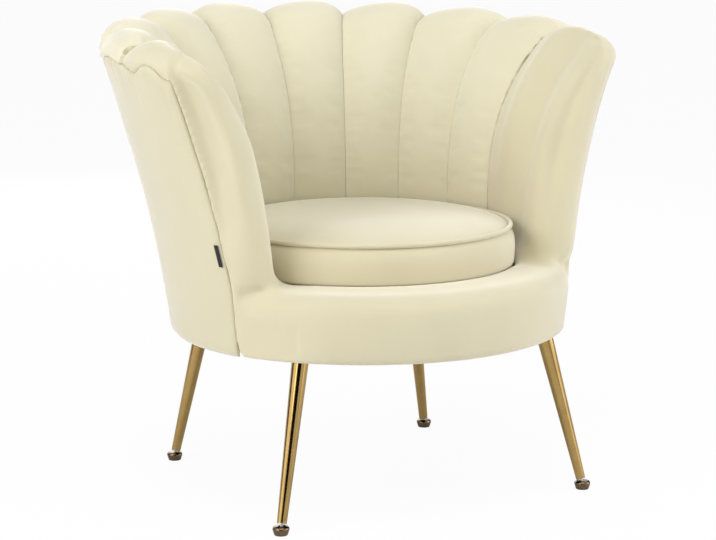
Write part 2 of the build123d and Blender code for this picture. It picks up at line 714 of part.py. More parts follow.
for place, (side, top, foot, plate_r) in leg_places.items():
    high = Vector(side * top[0], top[1], LEG_TOP_Z)
    ball = Vector(side * foot[0], foot[1], BALL_Z)
    along = (high - ball).normalized()
    end = ball + along * ((LEG_END_Z - BALL_Z) / along.Z)
    leg_plane = Plane(origin=end, x_dir=(1, 0, -along.X / along.Z), z_dir=along)
    length = (high - end).length
    grow = (LEG_TOP_R - LEG_END_R) / length
    with BuildPart() as leg:
        with BuildSketch(leg_plane):
            Circle(LEG_END_R)
        with BuildSketch(leg_plane.offset(length + LEG_OVER)):
            Circle(LEG_END_R + grow * (length + LEG_OVER))
        loft()
        with BuildSketch(leg_plane.offset(-1)):
            Circle(LEG_END_R - LEG_WALL - grow)
        with BuildSketch(leg_plane.offset(length + LEG_OVER + 1)):
            Circle(LEG_END_R - LEG_WALL + grow * (length + LEG_OVER + 1))
        loft(mode=Mode.SUBTRACT)
        with Locations((high.X, high.Y, LEG_TOP_Z)):
            Box(8 * LEG_TOP_R, 8 * LEG_TOP_R, 4 * LEG_OVER, align=(Align.CENTER, Align.CENTER, Align.MIN),
                mode=Mode.SUBTRACT)
    keep(f"leg_{place}", leg, GOLD)

    x, y = plate_place(side, top, plate_r)
    with BuildPart() as plate:
        with BuildSketch(Plane.XY.offset(LEG_TOP_Z)):
            with Locations((x, y)):
                Circle(PLATE_R)
            with Locations(*plate_holes(side, top, plate_r)):
                Circle(SCREW_R + 0.15, mode=Mode.SUBTRACT)
        extrude(amount=PLATE)
    keep(f"plate_{place}", plate, GOLD)

    with BuildPart() as bush:
        with BuildSketch(leg_plane.offset(-BUSH_FLANGE)):
            Circle(LEG_END_R - 0.2)
        extrude(amount=BUSH_FLANGE - 0.02)
        with BuildSketch(leg_plane.offset(-BUSH_FLANGE)):
            Circle(LEG_END_R - LEG_WALL - 0.02)
        extrude(amount=BUSH_LENGTH)
        with BuildSketch(leg_plane.offset(-BUSH_FLANGE)):
            Circle(BUSH_BORE_R)
        extrude(amount=BUSH_LENGTH, mode=Mode.SUBTRACT)
    keep(f"bush_{place}", bush, STEEL)

    with BuildPart() as stem:
        stem_plane = Plane(origin=ball, x_dir=leg_plane.x_dir, z_dir=along)
        with BuildSketch(stem_plane):
            Circle(NECK_R)
        extrude(amount=NECK_LENGTH + 1)
        with BuildSketch(stem_plane.offset(NECK_LENGTH)):
            Circle(STEM_R)
        extrude(amount=STEM_LENGTH - NECK_LENGTH)
        with Locations(ball):
            Sphere(BALL_R)
    keep(f"stem_{place}", stem, STEEL)

    with BuildPart() as glide:
        with BuildSketch(Plane(origin=(ball.X, ball.Y, 0), x_dir=(1, 0, 0), z_dir=(0, -1, 0))):
            with BuildLine():
                Line((0, 0), (FOOT_BASE_R, 0))
                Line((FOOT_BASE_R, 0), (FOOT_R, FOOT_HEIGHT * 0.62))
                ThreePointArc((FOOT_R, FOOT_HEIGHT * 0.62), (FOOT_R - 1.0, FOOT_HEIGHT - 2.0),
                              (FOOT_R - 4.5, FOOT_HEIGHT))
                Line((FOOT_R - 4.5, FOOT_HEIGHT), (0, FOOT_HEIGHT))
                Line((0, FOOT_HEIGHT), (0, 0))
            make_face()
        revolve(axis=Axis((ball.X, ball.Y, 0), (0, 0, 1)))
        with Locations(ball):
            Sphere(BALL_R + 0.15, mode=Mode.SUBTRACT)
        with Locations((ball.X, ball.Y, BALL_Z + 3.6)):
            Cone(4.2, 6.2, 7.0, align=(Align.CENTER, Align.CENTER, Align.MIN), mode=Mode.SUBTRACT)
    keep(f"glide_{place}", glide, BRONZE)

os.makedirs("parts", exist_ok=True)
for name, piece in made.items():
    export_step(piece, f"parts/{name}.step")
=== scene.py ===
from math import cos, pi, radians, sin, sqrt

import bmesh
import bpy
import numpy as np
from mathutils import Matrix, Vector


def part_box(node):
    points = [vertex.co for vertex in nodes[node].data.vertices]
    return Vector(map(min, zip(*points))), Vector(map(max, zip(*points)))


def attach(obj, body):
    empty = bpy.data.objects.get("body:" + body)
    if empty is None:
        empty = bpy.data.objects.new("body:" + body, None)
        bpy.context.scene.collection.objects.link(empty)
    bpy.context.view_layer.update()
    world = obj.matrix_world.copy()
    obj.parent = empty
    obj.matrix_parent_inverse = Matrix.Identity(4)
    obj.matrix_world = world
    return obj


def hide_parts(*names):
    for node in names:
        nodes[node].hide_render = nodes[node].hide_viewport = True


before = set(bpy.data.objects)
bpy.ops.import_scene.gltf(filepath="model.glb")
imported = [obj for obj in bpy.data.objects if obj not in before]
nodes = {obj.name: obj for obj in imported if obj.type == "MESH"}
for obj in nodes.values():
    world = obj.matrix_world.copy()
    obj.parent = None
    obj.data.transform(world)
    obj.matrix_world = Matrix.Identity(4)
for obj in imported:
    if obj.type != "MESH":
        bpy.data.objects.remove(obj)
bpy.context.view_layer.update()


# Wooden frame: plywood rings, ribs and blocks, a bent lining and a steamed hoop, glued and
# stapled together. The upholstery hides it, so the solids stay as they are and take a
# plywood finish.
class Wire:
    """A shader socket that Python expressions can use: each operator adds a Math node."""

    def __init__(self, tree, socket=None):
        self.tree = tree
        self.socket = socket

    def node(self, kind, settings, sockets, output=0):
        """Adds any other node: its settings first, then the values or links of its sockets."""
        made = self.tree.nodes.new(kind)
        for name, value in settings.items():
            setattr(made, name, value)
        for name, value in sockets.items():
            if isinstance(value, Wire):
                self.tree.links.new(value.socket, made.inputs[name])
            else:
                made.inputs[name].default_value = value
        return Wire(self.tree, made.outputs[output])

    def maths(self, operation, first, second):
        return self.node("ShaderNodeMath", {"operation": operation}, {0: first, 1: second})

    def __add__(self, other):
        return self.maths("ADD", self, other)

    def __radd__(self, other):
        return self.maths("ADD", other, self)

    def __mul__(self, other):
        return self.maths("MULTIPLY", self, other)

    def __rmul__(self, other):
        return self.maths("MULTIPLY", other, self)


def finish(name, constants):
    """A new material with these constants on its shader, and a Wire in its node tree."""
    material = bpy.data.materials.new(name)
    material.use_nodes = True
    shader = material.node_tree.nodes["Principled BSDF"]
    for socket, value in constants.items():
        shader.inputs[socket].default_value = value
    return material, Wire(material.node_tree)


def feed(material, socket, wire):
    """Links a worked-out value to a socket of the material's shader."""
    tree = material.node_tree
    tree.links.new(wire.socket, tree.nodes["Principled BSDF"].inputs[socket])


def on_piece(wire):
    """Place on the piece, in metres."""
    return wire.node("ShaderNodeTexCoord", {}, {}, "Object")


def two_tone(wire, factor, first, second):
    """Colour that goes from first to second as factor goes from 0 to 1."""
    return wire.node("ShaderNodeMix", {"data_type": "RGBA"}, {0: factor, 6: first, 7: second}, 2)


def noise(wire, place, scale, detail):
    """Soft random value over the surface."""
    return wire.node("ShaderNodeTexNoise", {}, {"Vector": place, "Scale": scale, "Detail": detail})


def wave(wire, place, way, scale, distortion=0.0):
    """Even bands across one direction."""
    return wire.node("ShaderNodeTexWave", {"bands_direction": way},
                     {"Vector": place, "Scale": scale, "Distortion": distortion})


def relief(material, wire, height, strength, distance):
    """Fine bump over the whole surface."""
    bump = wire.node("ShaderNodeBump", {},
                     {"Height": height, "Strength": strength, "Distance": distance})
    feed(material, "Normal", bump)


BIRCH_DEEP = (0.50, 0.34, 0.18, 1)
BIRCH_PALE = (0.74, 0.58, 0.38, 1)


def plywood():
    """Pale birch plywood: long grain on the faces and thin plies up the edges."""
    material, wire = finish("birch_plywood", {"Roughness": 0.62, "Specular IOR Level": 0.3})
    place = on_piece(wire)
    long_way = wire.node("ShaderNodeMapping", {}, {"Vector": place, "Scale": (60.0, 6.0, 60.0)})
    grain = noise(wire, long_way, 3.0, 5.0)
    plies = wave(wire, place, "Z", 105.0, 0.6)
    tone = 0.65 * grain + 0.35 * plies
    feed(material, "Base Color", two_tone(wire, tone, BIRCH_DEEP, BIRCH_PALE))
    relief(material, wire, grain, 0.2, 0.0005)
    return material


def dress(piece, material):
    """Gives a piece one material."""
    piece.data.materials.clear()
    piece.data.materials.append(material)


WOODEN = ["base_ring", "seat_ring", "seat_blocks", "front_rail", "rim_hoop", "inner_lining",
          "rib_back", "rib_left", "rib_right", "rib_arm_left", "rib_arm_right"]
wood = plywood()
for name in WOODEN:
    dress(nodes[name], wood)


# Seat webbing: four elastic straps front to back and four across, stapled to the seat ring.
# They are woven flat, and one layer lies on the other.
STRAPS = 4
STRAP_WIDTH = 0.050
STRAP_PITCH = 0.070
STRAP_THICK = 0.0016
STRAP_SOFT = STRAP_THICK * 0.35
STRAP_R = 0.231
WEBBING_PALE = (0.055, 0.055, 0.06, 1)
WEBBING_DEEP = (0.012, 0.012, 0.014, 1)


def woven(name, pale, deep, threads):
    """Plain dark weave."""
    material, wire = finish(name, {"Roughness": 0.88, "Specular IOR Level": 0.2})
    place = on_piece(wire)
    weave = 0.5 * wave(wire, place, "X", threads) + 0.5 * wave(wire, place, "Y", threads)
    feed(material, "Base Color", two_tone(wire, weave, deep, pale))
    relief(material, wire, weave, 0.35, 0.0004)
    return material


def deselect():
    """Leaves nothing selected, so that the next operators act on the new piece alone."""
    bpy.ops.object.select_all(action="DESELECT")


def fix_place():
    """Moves the new piece's place, turn and size into its mesh."""
    bpy.ops.object.transform_apply(location=True, rotation=True, scale=True)


def start_piece(name, body):
    """The object just added, named and riding on its body."""
    piece = bpy.context.object
    piece.name = name
    piece.data.name = name
    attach(piece, body)
    return piece


def close_piece(piece, material, slot, *replaced):
    """The closing calls of a piece: its material and the solids that it stands for; slot is not
    used.
    """
    dress(piece, material)
    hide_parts(*replaced)


def straps(node, along_y):
    """Four flat straps in the space of the node, with soft edges."""
    low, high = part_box(node)
    deselect()
    made = []
    for i in range(STRAPS):
        offset = STRAP_PITCH * (i - (STRAPS - 1) / 2)
        half = sqrt(STRAP_R ** 2 - (abs(offset) + STRAP_WIDTH / 2) ** 2)
        size, shift = (STRAP_WIDTH, 2 * half), (offset, 0)
        if not along_y:
            size, shift = size[::-1], shift[::-1]
        bpy.ops.mesh.primitive_cube_add(size=1.0)
        strap = bpy.context.object
        strap.scale = (*size, STRAP_THICK)
        strap.location = ((low.x + high.x) / 2 + shift[0], (low.y + high.y) / 2 + shift[1],
                          high.z - STRAP_THICK / 2)
        fix_place()
        bpy.ops.object.mode_set(mode="EDIT")
        bpy.ops.mesh.bevel(offset=STRAP_SOFT, segments=2)
        bpy.ops.object.mode_set(mode="OBJECT")
        made.append(strap)
    deselect()
    for strap in made:
        strap.select_set(True)
    bpy.context.view_layer.objects.active = made[0]
    bpy.ops.object.join()
    close_piece(start_piece("straps_" + node, "chair"), dark_weave, "dark_textile", node)


dark_weave = woven("webbing_weave", WEBBING_PALE, WEBBING_DEEP, 700.0)
straps("webbing_long", True)
straps("webbing_cross", False)

# Deck pad: thin foam in a cream cloth, lying on the webbing under the loose cushion.
# Its edge is rounded and its top is slightly crowned.
DECK_EDGE = 0.005
DECK_CROWN = 0.001
CREAM_PALE = (0.685, 0.632, 0.448, 1)
CREAM_DEEP = (0.585, 0.534, 0.362, 1)
SHEEN = (1.0, 0.97, 0.90, 1)
ROUND_SIDES = 96
QUARTER = [radians(15 * i) for i in range(7)]
CROWN_SHARES = (0.9, 0.75, 0.6, 0.45, 0.3, 0.15, 0.0)
low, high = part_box("deck_pad")
AXIS_Y = (low.y + high.y) / 2


def velvet(name, pale, deep):
    """Short cream pile: brushed patches of nap, a fine pile and a soft edge sheen."""
    material, wire = finish(name, {"Roughness": 0.86, "Specular IOR Level": 0.12,
                                   "Sheen Weight": 1.0, "Sheen Roughness": 0.50,
                                   "Sheen Tint": SHEEN})
    place = on_piece(wire)
    brushed = wire.node("ShaderNodeMapping", {}, {"Vector": place, "Scale": (1.0, 1.0, 0.45)})
    nap = noise(wire, brushed, 13.0, 4.0)
    pile = noise(wire, place, 1500.0, 2.0)
    tone = 0.75 * nap + 0.25 * pile
    feed(material, "Base Color", two_tone(wire, tone, deep, pale))
    relief(material, wire, pile, 0.10, 0.0006)
    return material


def new_piece(name, verts, faces):
    """A mesh object from points and faces, with its faces turned outwards."""
    mesh = bpy.data.meshes.new(name)
    mesh.from_pydata([tuple(v) for v in verts], [], [tuple(f) for f in faces])
    built = bmesh.new()
    built.from_mesh(mesh)
    bmesh.ops.remove_doubles(built, verts=built.verts, dist=1e-6)
    bmesh.ops.recalc_face_normals(built, faces=built.faces)
    built.to_mesh(mesh)
    built.free()
    mesh.shade_smooth()
    piece = bpy.data.objects.new(name, mesh)
    bpy.context.scene.collection.objects.link(piece)
    return piece


def soft_piece(piece, body, material, fill, slot, *replaced):
    """The closing calls of a padded piece."""
    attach(piece, body)
    close_piece(piece, material, slot, *replaced)


def ring_faces(rows, count):
    """Faces between closed rings of points, numbered ring by ring."""
    return [(i * count + j, i * count + (j + 1) % count,
             (i + 1) * count + (j + 1) % count, (i + 1) * count + j)
            for i in range(rows - 1) for j in range(count)]


def spun(name, profile, sides):
    """Closed round piece from (radius, height) points that start and end on the body axis."""
    verts = []
    for r, z in profile:
        for i in range(sides):
            angle = 2 * pi * i / sides
            verts.append((r * sin(angle), AXIS_Y + r * cos(angle), z))
    return new_piece(name, verts, ring_faces(len(profile), sides))


def rounded(low, high, radius, edge, crown):
    """Half profile of a round pad: flat under, rounded edges, crowned top."""
    reach = radius - edge
    under = [(0.0, low), (radius * 0.5, low)]
    under += [(reach + edge * sin(t), low + edge - edge * cos(t)) for t in QUARTER]
    over = [(reach + edge * cos(t), high - crown - edge + edge * sin(t)) for t in QUARTER]
    over += [(reach * s, high - crown * s * s) for s in CROWN_SHARES]
    return under + over


cream = velvet("cream_velvet", CREAM_PALE, CREAM_DEEP)
deck_profile = rounded(low.z, high.z, (high.x - low.x) / 2, DECK_EDGE, DECK_CROWN)
deck = spun("deck_pad_cloth", deck_profile, ROUND_SIDES)
soft_piece(deck, "chair", cream, 0.8, "velvet", "deck_pad")

# Petals: eight channels of foam under one velvet, sewn together along their edges and to the
# lining. Each climbs the wall from the seat, swells between its seams, rolls over the hoop
# and ends under the rim.
PETALS_PER_SIDE = 4
SEAT_WALL = 0.240
FLARE_START = 0.436
FLARE_RADIUS = 0.420
FLARE_TURN = 38.0
ROLL_RADIUS = 0.038
RIM_DROP = 0.021
PADDING = 0.021
PETAL_FOOT = 0.3265
STEP_SEAT = 20.8
STEP_RIM = 22.35
FLARE_CENTRE = SEAT_WALL + FLARE_RADIUS
ROLL_R = FLARE_CENTRE - (FLARE_RADIUS - ROLL_RADIUS) * cos(radians(FLARE_TURN))
ROLL_Z = FLARE_START + (FLARE_RADIUS - ROLL_RADIUS) * sin(radians(FLARE_TURN))
CREST_Z = ROLL_Z + ROLL_RADIUS
# The outer seam rises between the places where it is pulled down; the last two are on the arm.
SCALLOP = 0.017
ARM_PULL = 4.28
ARM_END = 4.76
# Along the wall, angles are turns from upright: the crest is at 90 and the outer seam near 180.
SWELL_TURNS = [0, 19, 38, 66, 94, 138, 165, 180]
SWELL = [0.007, 0.013, 0.014, 0.015, 0.016, 0.0135, 0.0080, 0.004]
VALLEY_TURNS = [20, 55, 90, 125, 155]
VALLEY = [0, 0.0040, 0.0058, 0.0030, 0]
PETAL_COLUMNS = 37
PETAL_ROWS = (10, 46, 40)
FULLNESS = 2.5
PETAL_LEAN = 0.32
LEAN_GROWS = (20, 80)
FLAT_BY_ARM = 0.45
FLATTENS = (95, 130)
VALLEY_ENDS = (112, 85)
VALLEY_WIDTH = 0.014
SEWN = 0.0002
SEAM_PINCH = 0.0022
PINCH_WIDTH = 0.0045
BESIDE_CUSHION = 0.395
PRESSED = 0.55
PUCKER = 0.0006
PUCKER_PITCH = 0.019
PUCKER_DRIFT = 0.071
PUCKER_WIDTH = 0.011
PUCKER_CLEAR = 0.002
PUCKER_FROM = 0.16
PUCKER_OVER = 0.20
PUCKER_LEAST = 0.12
SETTLE_FRAMES = 20
# Petal colours: the cream velvet made lighter, as painted light that stands in for light reaching
# the shaded inner petals.
PETAL_PAINTED_LIGHT_PALE = (0.765, 0.722, 0.548, 1)
PETAL_PAINTED_LIGHT_DEEP = (0.660, 0.617, 0.450, 1)


def wall_path(rows_upright, rows_flare, rows_roll, end_turn):
    """Turn from upright, radius and height along the wall from the seat to the outer seam."""
    turn = np.concatenate([np.zeros(rows_upright),
                           np.linspace(0, FLARE_TURN, rows_flare, endpoint=False),
                           np.linspace(FLARE_TURN, end_turn, rows_roll)])
    c, s = np.cos(np.radians(turn)), np.sin(np.radians(turn))
    rolled = turn >= FLARE_TURN
    r = np.where(rolled, ROLL_R - ROLL_RADIUS * c, FLARE_CENTRE - FLARE_RADIUS * c)
    z = np.where(rolled, ROLL_Z + ROLL_RADIUS * s, FLARE_START + FLARE_RADIUS * s)
    z[:rows_upright] = np.linspace(PETAL_FOOT, FLARE_START, rows_upright, endpoint=False)
    return turn, r, z


def rim_fall(step):
    """How far the rim has fallen at a seam number, counted from the centre of the back."""
    return RIM_DROP * (1 - np.cos(np.radians(step * STEP_RIM)))


def fallen(z, step):
    """Height of a wall point once the rim has fallen towards the front."""
    return z - rim_fall(step) * np.clip((z - FLARE_START) / (CREST_Z - FLARE_START), 0, None)


def ease(value, low, high):
    """Goes smoothly from 0 at low to 1 at high."""
    t = np.clip((value - low) / (high - low), 0, 1)
    return t * t * (3 - 2 * t)


def scallop(step):
    """Rise of the gathered outer seam at a seam number."""
    step = np.abs(step)
    along = np.interp(step, [0, PETALS_PER_SIDE - 1, ARM_PULL, ARM_END], [0, 3, 4, 5])
    rise = np.interp(step, [PETALS_PER_SIDE - 1, ARM_PULL], [0.6, 1.0])
    return SCALLOP * rise * np.abs(np.sin(pi * along))


def seam_angle(step, r):
    """Angle from the back of a seam number, which may be a fraction: the seams fan out late."""
    out = np.clip((r - SEAT_WALL) / (ROLL_R - SEAT_WALL), 0, 1)
    return np.radians(step * (STEP_SEAT + (STEP_RIM - STEP_SEAT) * out ** 2))


def grid_faces(rows, columns, start):
    """Faces of a grid whose points are numbered row by row."""
    return [(start + i * columns + j, start + i * columns + j + 1,
             start + (i + 1) * columns + j + 1, start + (i + 1) * columns + j)
            for i in range(rows - 1) for j in range(columns - 1)]


def closed_grids(name, front, back):
    """Closed piece from a front and a back grid of points of the same size."""
    rows, columns = front.shape[:2]
    count = rows * columns
    faces = grid_faces(rows, columns, 0) + [f[::-1] for f in grid_faces(rows, columns, count)]
    for i in range(rows - 1):
        for j in (0, columns - 1):
            a = i * columns + j
            faces.append((a, a + columns, a + columns + count, a + count))
    for j in range(columns - 1):
        for i in (0, rows - 1):
            a = i * columns + j
            faces.append((a, a + 1, a + 1 + count, a + count))
    return new_piece(name, np.concatenate([front.reshape(-1, 3), back.reshape(-1, 3)]), faces)


def puckers(length, to_seam, number, side, nearest):
    """Small waves beside the seams, stronger towards the rim and different at each seam."""
    drift = 1.6 * np.sin(2 * pi * length / PUCKER_DRIFT + number)
    waves = np.sin(2 * pi * length / PUCKER_PITCH + 2.1 * nearest * side + drift)
    near_rim = np.clip((length - PUCKER_FROM) / PUCKER_OVER, PUCKER_LEAST, 1)
    beside = np.exp(-to_seam / PUCKER_WIDTH) * (1 - np.exp(-to_seam / PUCKER_CLEAR))
    return PUCKER * near_rim * waves * beside


def petal(side, hand, number):
    """One petal as a closed padded shape, puckered a little along its seams near the rim."""
    u = 0.5 - 0.5 * np.cos(np.linspace(0, pi, PETAL_COLUMNS))
    ends = 180.0 - np.degrees(np.arcsin(scallop(number + u) / ROLL_RADIUS))
    paths = [wall_path(*PETAL_ROWS, end) for end in ends]
    turn, r, z = (np.stack(values, axis=1) for values in zip(*paths))
    strides = np.hypot(np.diff(r, axis=0, prepend=r[:1]), np.diff(z, axis=0, prepend=z[:1]))
    length = np.cumsum(strides, axis=0)
    step = number + u[None, :]
    to_seam = np.minimum(u, 1 - u)[None, :] * (r * np.radians(STEP_RIM))
    across = (2 * u - 1)[None, :]
    seam = number + (across > 0)
    by_arm = seam >= PETALS_PER_SIDE - 1

    shallow = np.where(by_arm, FLAT_BY_ARM * ease(turn, *FLATTENS), 0.0)
    lean = 1 + PETAL_LEAN * across * ease(turn, *LEAN_GROWS)
    full = (1 - (1 - shallow) * np.abs(across) ** FULLNESS) * lean
    pressed = np.interp(z, [BESIDE_CUSHION, FLARE_START], [PRESSED, 1.0])
    valley = np.interp(turn, VALLEY_TURNS, VALLEY)
    valley = valley * np.where(by_arm, ease(turn, *VALLEY_ENDS), 1.0)
    valley = valley * np.where(seam == PETALS_PER_SIDE, 0.5, 1.0)
    off = np.interp(turn, SWELL_TURNS, SWELL) * full * pressed
    off = off - SEAM_PINCH * np.exp(-to_seam / PINCH_WIDTH)
    off = off + puckers(length, to_seam, number, side, number + np.round(u)[None, :])
    off = off - valley * np.exp(-to_seam / VALLEY_WIDTH)

    def surface(off):
        t = np.radians(turn)
        reach = r - off * np.cos(t)
        height = fallen(z + off * np.sin(t), number + 0.5 + 0.5 * across * np.abs(across))
        shift = np.where(u == 0, SEWN, np.where(u == 1, -SEWN, 0.0))[None, :]
        angle = seam_angle(step, r) + shift / reach
        return np.stack([side * reach * np.sin(angle), AXIS_Y + reach * np.cos(angle), height],
                        axis=-1)

    return closed_grids(f"petal_{hand}_{number + 1}_velvet", surface(off),
                        surface(np.full_like(off, -PADDING)))


def points_of(piece, kind="co"):
    """The piece's points, or their normals, as an array."""
    values = np.empty(len(piece.data.vertices) * 3)
    piece.data.vertices.foreach_get(kind, values)
    return values.reshape(-1, 3)


def set_points(piece, points):
    """Writes moved points back."""
    piece.data.vertices.foreach_set("co", points.ravel())
    piece.data.update()


def settle(pieces, held_points, pressure, slack, most):
    """Lets the cloth of padded pieces swell over its filling; held points stay sewn down."""
    for piece, held in zip(pieces, held_points):
        group = piece.vertex_groups.new(name="sewn")
        group.add([int(i) for i in held], 1.0, "REPLACE")
        cloth = piece.modifiers.new("swelling", "CLOTH")
        cloth.settings.vertex_group_mass = "sewn"
        cloth.settings.quality = 5
        cloth.settings.mass = 0.25
        cloth.settings.bending_stiffness = 0.4
        cloth.settings.use_pressure = True
        cloth.settings.uniform_pressure_force = pressure
        cloth.settings.shrink_min = -slack
        cloth.settings.effector_weights.gravity = 0.0
        cloth.point_cache.frame_start = 1
        cloth.point_cache.frame_end = SETTLE_FRAMES
    for number in range(1, SETTLE_FRAMES + 1):
        bpy.context.scene.frame_set(number)
    ready = bpy.context.evaluated_depsgraph_get()
    for piece in pieces:
        before = points_of(piece)
        move = points_of(piece.evaluated_get(ready)) - before
        far = np.linalg.norm(move, axis=1, keepdims=True)
        move *= most * np.tanh(far / most) / np.maximum(far, 1e-9)
        piece.modifiers.clear()
        piece.vertex_groups.clear()
        set_points(piece, before + move)
    bpy.context.scene.frame_set(1)


def petal_held(piece):
    """Points of a petal that are sewn or stapled: its edges and its whole back."""
    count = len(piece.data.vertices) // 2
    number = np.arange(count)
    row, column = number // PETAL_COLUMNS, number % PETAL_COLUMNS
    edge = (column < 1) | (column > PETAL_COLUMNS - 2)
    edge |= (row < 2) | (row > count // PETAL_COLUMNS - 3)
    return np.concatenate([number[edge], np.arange(count, 2 * count)])


# The petals get a lighter copy of the cream velvet: painted light, not a differently brushed pile.
painted_light_petal_velvet = velvet("petal_velvet", PETAL_PAINTED_LIGHT_PALE, PETAL_PAINTED_LIGHT_DEEP)
petals = {}
for side, hand in ((-1, "left"), (1, "right")):
    for number in range(PETALS_PER_SIDE):
        petals[f"petal_{hand}_{number + 1}"] = petal(side, hand, number)
settle(list(petals.values()), [petal_held(p) for p in petals.values()],
       pressure=4.0, slack=0.012, most=0.003)
for node, piece in petals.items():
    soft_piece(piece, "chair", painted_light_petal_velvet, 0.85, "velvet", node)

# Arms and apron: one velvet runs from the last petal round each arm front and on round the
# front of the seat. The foam under it is glued up from blocks, so the arm fronts flow into
# the ledge with no seam between.
ARM_PARTS = ["arm_pad_left", "arm_front_left", "front_apron", "arm_front_right", "arm_pad_right"]
LEDGE_Z = 0.342
ARM_LOW_R = 0.285
ARM_SINK = 0.075
ARM_SINK_IN = 0.978
UNDER_PETAL = 0.012
BACKWARD = {"left": Vector((-0.2, 0.98, 0)), "right": Vector((0.2, 0.98, 0))}
FRONT_SEAM_LOW = 116.2
FRONT_SEAM_HIGH = 106.5
SEAM_SINK = 0.003
SEAM_WIDTH = 0.0035
COVER = 0.008
BACK_INSET = 0.020
BACK_INSET_TOP = 0.560
OUTER_FOOT_R, OUTER_FOOT_Z = 0.313, 0.256
OUTER_MID_R, OUTER_MID_Z = 0.342, 0.455
OUTER_CURVE = np.polyfit([OUTER_FOOT_Z, OUTER_MID_Z, ROLL_Z],
                         [OUTER_FOOT_R, OUTER_MID_R, ROLL_R + ROLL_RADIUS], 2)


def drawn_out(built, facing, height, shift, keep_in):
    """Extrudes the faces that point one way, below a height; keep_in draws them to the axis."""
    chosen = [f for f in built.faces
              if f.normal.dot(facing) > 0.97 and f.calc_center_median().z < height]
    moved = bmesh.ops.extrude_face_region(built, geom=chosen)["geom"]
    for point in [v for v in moved if isinstance(v, bmesh.types.BMVert)]:
        point.co += shift
        point.co.x *= keep_in
        point.co.y = AXIS_Y + (point.co.y - AXIS_Y) * keep_in


def merged_arms(name, copied):
    """Copies of the solids in one object: the arms reach into the apron and under the petals."""
    whole = bmesh.new()
    for node in copied:
        built = bmesh.new()
        built.from_mesh(nodes[node].data)
        bmesh.ops.remove_doubles(built, verts=built.verts, dist=1e-5)
        if node.startswith("arm"):
            drawn_out(built, Vector((0, 0, -1)), LEDGE_Z + 0.002, Vector((0, 0, -ARM_SINK)),
                      ARM_SINK_IN)
        if node.startswith("arm_pad"):
            back = BACKWARD[node.split("_")[-1]]
            drawn_out(built, back, 1.0, back * UNDER_PETAL, 1.0)
        mesh = bpy.data.meshes.new(node + "_copy")
        built.to_mesh(mesh)
        built.free()
        whole.from_mesh(mesh)
        bpy.data.meshes.remove(mesh)
    mesh = bpy.data.meshes.new(name)
    whole.to_mesh(mesh)
    whole.free()
    piece = bpy.data.objects.new(name, mesh)
    bpy.context.scene.collection.objects.link(piece)
    return piece


def apply_modifier(piece, kind, **settings):
    """Adds a modifier, sets it up and applies it."""
    deselect()
    piece.select_set(True)
    bpy.context.view_layer.objects.active = piece
    modifier = piece.modifiers.new(kind.lower(), kind)
    for name, value in settings.items():
        setattr(modifier, name, value)
    bpy.ops.object.modifier_apply(modifier=modifier.name)


def soften_where(piece, weights, rounds):
    """Smooths a piece as far as the weights of its points say."""
    group = piece.vertex_groups.new(name="soften")
    for i in np.nonzero(weights > 0.02)[0]:
        group.add([int(i)], float(weights[i]), "REPLACE")
    apply_modifier(piece, "SMOOTH", factor=0.5, iterations=rounds, vertex_group="soften")
    piece.vertex_groups.clear()


def outer_radius(z, angle):
    """Outside of the body before the rim falls, at degrees from the back: drawn in at the foot."""
    share = np.clip((BACK_INSET_TOP - z) / (BACK_INSET_TOP - OUTER_FOOT_Z), 0, 1)
    backward = np.clip(np.cos(np.radians(90 * angle / FRONT_SEAM_LOW)), 0, 1)
    return np.polyval(OUTER_CURVE, z) - BACK_INSET * share * backward


def unfallen(z, step):
    """Height that a point had before the rim fell."""
    kept = 1 - rim_fall(step) / (CREST_Z - FLARE_START)
    return np.where(z > FLARE_START, FLARE_START + (z - FLARE_START) / kept, z)


def around(angle, r, z):
    """Place at an angle from the back, in degrees, from the body axis."""
    return np.array([r * sin(radians(angle)), r * cos(radians(angle)), z])


# The front seam lies in one leaning plane on each arm: a place on it, and its outward, upward
# and forward directions.
seam_foot = around(FRONT_SEAM_LOW, ARM_LOW_R, LEDGE_Z)
seam_out = around((FRONT_SEAM_LOW + FRONT_SEAM_HIGH) / 2, 1.0, 0.0)
seam_run = around(FRONT_SEAM_HIGH, ROLL_R, CREST_Z) - seam_foot
seam_up = seam_run - seam_out * seam_run.dot(seam_out)
seam_up /= np.linalg.norm(seam_up)
seam_ahead = np.cross(seam_out, seam_up)


def seam_degrees(r, z):
    """Angle of the front seam at a radius and a height; below the ledge it drops straight down."""
    climb = (np.maximum(z, LEDGE_Z) - LEDGE_Z) / seam_up[2]
    x = seam_foot[0] + climb * seam_up[0]
    y = seam_foot[1] + climb * seam_up[1]
    along = x * seam_out[0] + y * seam_out[1]
    across = np.sqrt(along ** 2 - x ** 2 - y ** 2 + r ** 2) - along
    return np.degrees(np.arctan2(x + across * seam_out[0], y + across * seam_out[1]))


def between(outside, inside, share):
    """Goes from the outside value to the inside value with the share."""
    return outside + (inside - outside) * share


arms = merged_arms("arms_and_apron_velvet", ARM_PARTS)
apply_modifier(arms, "REMESH", mode="VOXEL", voxel_size=0.004)
apply_modifier(arms, "SMOOTH", factor=0.5, iterations=8)

